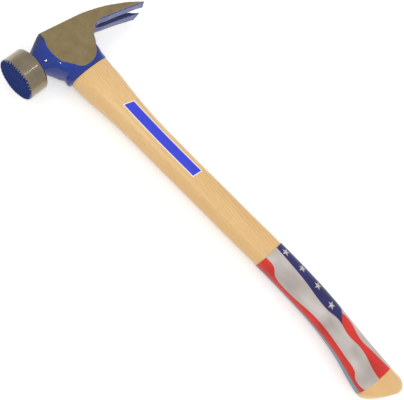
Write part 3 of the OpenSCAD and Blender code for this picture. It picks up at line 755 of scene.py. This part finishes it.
# Glossy vinyl film, printed royal blue with a plain cream edge: flat colour, faint print grain
LABEL_BORDER, LABEL_BLEND = 0.9, 0.08
label_film, tree = new_material("printed_vinyl_label")
lay = node(tree, "ShaderNodeSeparateXYZ", {0: node(tree, "ShaderNodeTexCoord").outputs["UV"]})
insets = []
for way, size in enumerate((LABEL_L, LABEL_W)):
    half = size / 2 / LAY_MM
    from_middle = node(tree, "ShaderNodeMath", {
        0: lay.outputs[way], 1: half}, operation="SUBTRACT").outputs[0]
    off_middle = node(tree, "ShaderNodeMath", {0: from_middle}, operation="ABSOLUTE").outputs[0]
    insets.append(node(tree, "ShaderNodeMath", {
        0: half - LABEL_BORDER / LAY_MM, 1: off_middle}, operation="SUBTRACT").outputs[0])
inside = node(tree, "ShaderNodeMath", {0: insets[0], 1: insets[1]}, operation="MINIMUM").outputs[0]
field = node(tree, "ShaderNodeMapRange", {
    0: inside, 1: -LABEL_BLEND / LAY_MM, 2: LABEL_BLEND / LAY_MM}).outputs[0]
grain = node(tree, "ShaderNodeTexNoise", {
    "Vector": node(tree, "ShaderNodeTexCoord").outputs["Object"], "Scale": 700.0, "Detail": 3.0}).outputs[0]
blue = node(tree, "ShaderNodeMix", {
    0: grain, 6: srgb("#2E38CC"), 7: srgb("#3540DC")}, data_type="RGBA").outputs[2]
label_color = node(tree, "ShaderNodeMix", {
    0: field, 6: srgb("#F2EDDA"), 7: blue}, data_type="RGBA").outputs[2]
rough = node(tree, "ShaderNodeMapRange", {0: grain, 3: 0.24, 4: 0.36}).outputs[0]
shader = node(tree, "ShaderNodeBsdfPrincipled", {
    "Base Color": label_color, "Roughness": rough, "IOR": 1.5}).outputs[0]
node(tree, "ShaderNodeOutputMaterial", {"Surface": shader})

# Heat-shrunk PVC sleeve, printed with waving red and silver-white stripes and a navy field of stars:
# glossy, with soft folds of shade printed into the waves. The curves give where an edge of the print lies,
# in half girths round the sleeve, at a place along it from 0 to 1. field_end has the two the other way round
HALF_GIRTH = 42.0
FIELD_BACK = -0.47
UNDER_STRIPE_BACK = -0.27
UNDER_STRIPE = (1.2, 1.34)
UNDER_WAVE = -0.5
BLUE_STRIPE_FOOT = 1.12
FOOT_SHIFT = 0.4
INK_BLEND = 0.006
sleeve_film, tree = new_material("printed_shrink_sleeve")
lay = node(tree, "ShaderNodeSeparateXYZ", {0: node(tree, "ShaderNodeTexCoord").outputs["UV"]})
along, round_share = lay.outputs[0], lay.outputs[1]
field_foot = node(tree, "ShaderNodeFloatCurve", {"Value": along}, points=[
    (0, 0.39), (0.25, 0.45), (0.47, 0.52), (0.58, 0.46),
    (0.68, 0.5), (0.8, 0.45), (0.95, 0.52), (1, 0.53)]).outputs[0]
back_stripe_top = node(tree, "ShaderNodeFloatCurve", {"Value": along}, points=[
    (0, 0.3), (0.54, 0.29), (0.62, 0.24), (0.75, 0.33), (0.86, 0.28), (1, 0.22)]).outputs[0]
front_stripe_top = node(tree, "ShaderNodeFloatCurve", {"Value": along}, points=[
    (0, 0.7), (0.06, 0.71), (0.13, 0.85), (0.18, 0.88), (0.5, 0.8),
    (0.75, 0.8), (0.86, 0.79), (0.91, 0.86), (1, 0.83)]).outputs[0]
field_end = node(tree, "ShaderNodeFloatCurve", {"Value": round_share}, points=[
    (0, 0.54), (0.27, 0.56), (0.52, 0.62), (1, 0.63)]).outputs[0]
# This edge lies near 1, where a curve would be cut off, so it is drawn further back and moved on
foot_drawn = node(tree, "ShaderNodeFloatCurve", {"Value": along}, points=[
    (0, 0.63), (0.4, 0.61), (0.7, 0.56), (0.9, 0.54), (1, 0.54)]).outputs[0]
stripe_foot = node(tree, "ShaderNodeMath", {0: foot_drawn, 1: FOOT_SHIFT}, operation="ADD").outputs[0]
under_wave = node(tree, "ShaderNodeMath", {
    0: back_stripe_top, 1: UNDER_WAVE}, operation="MULTIPLY").outputs[0]

fold_space = node(tree, "ShaderNodeMapping", {
    "Vector": node(tree, "ShaderNodeTexCoord").outputs["UV"], "Scale": (5, 2.2, 1)}).outputs[0]
folds = node(tree, "ShaderNodeTexNoise", {
    "Vector": fold_space, "Scale": 1.0, "Detail": 2.0, "Roughness": 0.4}).outputs[0]
fold = node(tree, "ShaderNodeMapRange", {0: folds, 1: 0.32, 2: 0.68}).outputs[0]
silver, red, navy = [
    node(tree, "ShaderNodeMix", {0: fold, 6: srgb(shaded), 7: srgb(lit)}, data_type="RGBA").outputs[2]
    for shaded, lit in (("#A99E98", "#CAC2BD"), ("#B2170E", "#E02A17"), ("#0F0F49", "#19196E"))
]

# Stars, about 8 mm across: the film is cut into cells, and each cell's angle is folded into a tenth of a
# turn. The rows of cells follow the wave, and the row that the field's foot would cut has no stars
STAR_STEP, STAR_ROW, STAR_START = 20.0, 11.0, -8.3
STAR_LEAN = 0.2
STAR_EDGE, STAR_BLEND, STAR_SHADE = 1.27, 0.09, 2.0
mm_along = node(tree, "ShaderNodeMath", {0: along, 1: WRAP_L}, operation="MULTIPLY").outputs[0]
star_line = node(tree, "ShaderNodeFloatCurve", {"Value": along}, points=[
    (0, 0.31), (0.35, 0.3), (0.5, 0.38), (1, 0.38)]).outputs[0]
off_line = node(tree, "ShaderNodeMath", {0: round_share, 1: star_line}, operation="SUBTRACT").outputs[0]
mm_round = node(tree, "ShaderNodeMath", {0: off_line, 1: HALF_GIRTH}, operation="MULTIPLY").outputs[0]
row_count = node(tree, "ShaderNodeMath", {
    0: mm_round, 1: 1 / STAR_ROW, 2: 0.5}, operation="MULTIPLY_ADD").outputs[0]
row = node(tree, "ShaderNodeMath", {0: row_count}, operation="FLOOR").outputs[0]
row_shift = node(tree, "ShaderNodeMath", {
    0: row, 1: STAR_STEP / 2, 2: STAR_START}, operation="MULTIPLY_ADD").outputs[0]
shifted = node(tree, "ShaderNodeMath", {0: mm_along, 1: row_shift}, operation="ADD").outputs[0]
star_x = node(tree, "ShaderNodeMath", {
    0: shifted, 1: STAR_STEP / 2, 2: -STAR_STEP / 2}, operation="WRAP").outputs[0]
row_middle = node(tree, "ShaderNodeMath", {0: row, 1: STAR_ROW}, operation="MULTIPLY").outputs[0]
star_y = node(tree, "ShaderNodeMath", {0: mm_round, 1: row_middle}, operation="SUBTRACT").outputs[0]
has_stars = node(tree, "ShaderNodeMath", {0: row, 1: 0.5}, operation="LESS_THAN").outputs[0]
angle = node(tree, "ShaderNodeMath", {0: star_x, 1: star_y}, operation="ARCTAN2").outputs[0]
turned = node(tree, "ShaderNodeMath", {0: angle, 1: STAR_LEAN + 2 * math.pi}, operation="ADD").outputs[0]
folded = node(tree, "ShaderNodeMath", {0: turned, 1: math.radians(36)}, operation="PINGPONG").outputs[0]
from_edge = node(tree, "ShaderNodeMath", {0: math.radians(72), 1: folded}, operation="SUBTRACT").outputs[0]
edge_cos = node(tree, "ShaderNodeMath", {0: from_edge}, operation="COSINE").outputs[0]
star_at = node(tree, "ShaderNodeCombineXYZ", {0: star_x, 1: star_y}).outputs[0]
radius = node(tree, "ShaderNodeVectorMath", {0: star_at}, operation="LENGTH").outputs[1]
star_out = node(tree, "ShaderNodeMath", {0: radius, 1: edge_cos}, operation="MULTIPLY").outputs[0]
star = node(tree, "ShaderNodeMapRange", {
    0: star_out, 1: STAR_EDGE + STAR_BLEND, 2: STAR_EDGE - STAR_BLEND, 4: has_stars}).outputs[0]
star_shadow = node(tree, "ShaderNodeMapRange", {0: star_out, 1: STAR_SHADE, 2: 1.2, 4: 0.5}).outputs[0]
shaded_navy = node(tree, "ShaderNodeMix", {
    0: star_shadow, 6: navy, 7: srgb("#15153F")}, data_type="RGBA").outputs[2]
starred = node(tree, "ShaderNodeMix", {
    0: star, 6: shaded_navy, 7: srgb("#BDB8B6")}, data_type="RGBA").outputs[2]


def beyond(value, line):
    """1 where value is past line, 0 before it, with a soft edge as ink has on such a print."""
    run = node(tree, "ShaderNodeMath", {0: value, 1: line}, operation="SUBTRACT").outputs[0]
    return node(tree, "ShaderNodeMapRange", {0: run, 1: -INK_BLEND, 2: INK_BLEND}).outputs[0]


def band(value, start, end):
    """1 where value is between start and end."""
    between = node(tree, "ShaderNodeMath", {
        0: beyond(value, start), 1: beyond(value, end)}, operation="SUBTRACT").outputs[0]
    return node(tree, "ShaderNodeMath", {0: between, 1: 0.0}, operation="MAXIMUM").outputs[0]


in_length = node(tree, "ShaderNodeMath", {
    0: 1.0, 1: beyond(along, field_end)}, operation="SUBTRACT").outputs[0]
field = node(tree, "ShaderNodeMath", {
    0: band(round_share, FIELD_BACK, field_foot), 1: in_length}, operation="MULTIPLY").outputs[0]
sleeve_color = silver
for share, ink in (
        (band(round_share, back_stripe_top, field_foot), red),
        (band(round_share, UNDER_STRIPE_BACK, under_wave), red),
        (field, starred),
        (band(round_share, front_stripe_top, stripe_foot), red),
        (band(round_share, stripe_foot, BLUE_STRIPE_FOOT), srgb("#6F8C9C")),
        (band(round_share, *UNDER_STRIPE), red)):
    sleeve_color = node(tree, "ShaderNodeMix", {
        0: share, 6: sleeve_color, 7: ink}, data_type="RGBA").outputs[2]
crease = node(tree, "ShaderNodeTexNoise", {
    "Vector": node(tree, "ShaderNodeTexCoord").outputs["Object"], "Scale": 260.0, "Detail": 3.0}).outputs[0]
rough = node(tree, "ShaderNodeMapRange", {0: crease, 3: 0.30, 4: 0.42}).outputs[0]
bump = node(tree, "ShaderNodeBump", {"Strength": 0.1, "Distance": 0.1 * MM, "Height": crease}).outputs[0]
shader = node(tree, "ShaderNodeBsdfPrincipled", {
    "Base Color": sleeve_color, "Roughness": rough, "IOR": 1.54, "Normal": bump}).outputs[0]
node(tree, "ShaderNodeOutputMaterial", {"Surface": shader})

# Ash wedge, left bare: browner than the handle, split rather than sawn, so its fibres are coarse
bare_ash, tree = new_material("split_bare_ash")
where = node(tree, "ShaderNodeTexCoord").outputs["Object"]
fibre_space = node(tree, "ShaderNodeMapping", {"Vector": where, "Scale": (300, 1800, 1800)}).outputs[0]
fibre = node(tree, "ShaderNodeTexNoise", {
    "Vector": fibre_space, "Scale": 1.0, "Detail": 4.0, "Roughness": 0.65}).outputs[0]
ash_color = node(tree, "ShaderNodeMix", {
    0: fibre, 6: srgb("#8A6236"), 7: srgb("#C79A5E")}, data_type="RGBA").outputs[2]
bump = node(tree, "ShaderNodeBump", {"Strength": 0.5, "Distance": 0.1 * MM, "Height": fibre}).outputs[0]
shader = node(tree, "ShaderNodeBsdfPrincipled", {
    "Base Color": ash_color, "Roughness": 0.75, "IOR": 1.5, "Normal": bump}).outputs[0]
node(tree, "ShaderNodeOutputMaterial", {"Surface": shader})

# Mild steel wedges, stamped from sheet and hammered in: dull grey with a rust-brown cast in the low spots
stamped_steel, tree = new_material("stamped_mild_steel")
where = node(tree, "ShaderNodeTexCoord").outputs["Object"]
dents = node(tree, "ShaderNodeTexNoise", {
    "Vector": where, "Scale": 700.0, "Detail": 4.0, "Roughness": 0.6}).outputs[0]
dull = node(tree, "ShaderNodeMix", {
    0: dents, 6: srgb("#7A6A5C"), 7: srgb("#B4B1AC")}, data_type="RGBA").outputs[2]
rough = node(tree, "ShaderNodeMapRange", {0: dents, 3: 0.35, 4: 0.6}).outputs[0]
bump = node(tree, "ShaderNodeBump", {"Strength": 0.4, "Distance": 0.2 * MM, "Height": dents}).outputs[0]
shader = node(tree, "ShaderNodeBsdfPrincipled", {
    "Base Color": dull, "Metallic": 1.0, "Roughness": rough, "Normal": bump}).outputs[0]
node(tree, "ShaderNodeOutputMaterial", {"Surface": shader})

# The head's materials stand in the order of their numbers, from POLISHED to TURNED
for finish in (ground_steel, blue_enamel, milled_enamel, slot_shaded_enamel, turned_steel):
    head.data.materials.append(finish)
for piece, finish in ((handle, hickory), (label, label_film), (sleeve, sleeve_film)):
    piece.data.materials.append(finish)
for name, finish in (
        ("eye_wedge", bare_ash), ("steel_wedge_front", stamped_steel), ("steel_wedge_rear", stamped_steel)):
    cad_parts[name].material_slots[0].material = finish

for piece, cad_node, slot in ((head, "head", "head_steel"), (handle, "handle", "handle_wood"),
                              (label, "handle_label", "label_film"), (sleeve, "grip_wrap", "wrap_film")):
    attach(piece, "root")
    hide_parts(cad_node)

# Seamless white paper. A camera, glossy or transmission ray sees it near white, less the hammer's shadow
PAPER_HALF = 6
paper, tree = new_material("white_paper_sweep")
paper_color = srgb("#E6E6E4")
lit = node(tree, "ShaderNodeBsdfDiffuse", {"Color": paper_color}).outputs[0]
glow = node(tree, "ShaderNodeEmission", {"Color": (1, 1, 1, 1), "Strength": 0.42}).outputs[0]
both = node(tree, "ShaderNodeAddShader", {0: lit, 1: glow}).outputs[0]
rays = node(tree, "ShaderNodeLightPath")
seen = node(tree, "ShaderNodeMath", {
    0: rays.outputs["Is Camera Ray"], 1: rays.outputs["Is Glossy Ray"]}, operation="MAXIMUM").outputs[0]
seen_too = node(tree, "ShaderNodeMath", {
    0: seen, 1: rays.outputs["Is Transmission Ray"]}, operation="MAXIMUM").outputs[0]
shader = node(tree, "ShaderNodeMixShader", {0: seen_too, 1: lit, 2: both}).outputs[0]
node(tree, "ShaderNodeOutputMaterial", {"Surface": shader})
floor_mesh = bpy.data.meshes.new("paper_floor")
floor_mesh.from_pydata([
    (-PAPER_HALF, -PAPER_HALF, 0), (PAPER_HALF, -PAPER_HALF, 0),
    (PAPER_HALF, PAPER_HALF, 0), (-PAPER_HALF, PAPER_HALF, 0)], [], [(0, 1, 2, 3)])
floor_mesh.materials.append(paper)
floor = put_in_scene("paper_floor", floor_mesh)

# White air. It lights the hammer a little less than the camera sees
world = bpy.data.worlds.new("studio_air")
bpy.context.scene.world = world
world.use_nodes = True
tree = world.node_tree
tree.nodes.clear()
rays = node(tree, "ShaderNodeLightPath")
seen = node(tree, "ShaderNodeMath", {
    0: rays.outputs["Is Camera Ray"], 1: rays.outputs["Is Transmission Ray"]}, operation="MAXIMUM").outputs[0]
strength = node(tree, "ShaderNodeMapRange", {0: seen, 3: 0.76, 4: 1.0}).outputs[0]
air = node(tree, "ShaderNodeBackground", {"Color": (1, 1, 1, 1), "Strength": strength})
node(tree, "ShaderNodeOutputWorld", {"Surface": air.outputs[0]})


def soft_light(name, spot, aim, size, power):
    """A round light. A large one is left out of reflections, so that the enamel stays dark."""
    lamp = bpy.data.lights.new(name, "AREA")
    lamp.shape = "DISK"
    lamp.size = size
    lamp.energy = power
    light = bpy.data.objects.new(name, lamp)
    light.location = spot
    light.rotation_euler = (Vector(aim) - Vector(spot)).to_track_quat("-Z", "Y").to_euler()
    light.visible_glossy = size < 1
    bpy.context.scene.collection.objects.link(light)


soft_light("left_softbox", (-1.9, 0.25, 1.6), (0, 0, 0), 3.0, 11.0)
soft_light("right_softbox", (1.9, -0.3, 1.7), (0, 0, 0), 3.0, 17.0)
soft_light("back_spark", (0.03, 0.315, 0.92), (-0.2, -0.05, 0), 0.05, 0.12)
soft_light("top_spark", (-0.06, -0.39, 1.27), (-0.2, -0.05, 0), 0.035, 1.3)
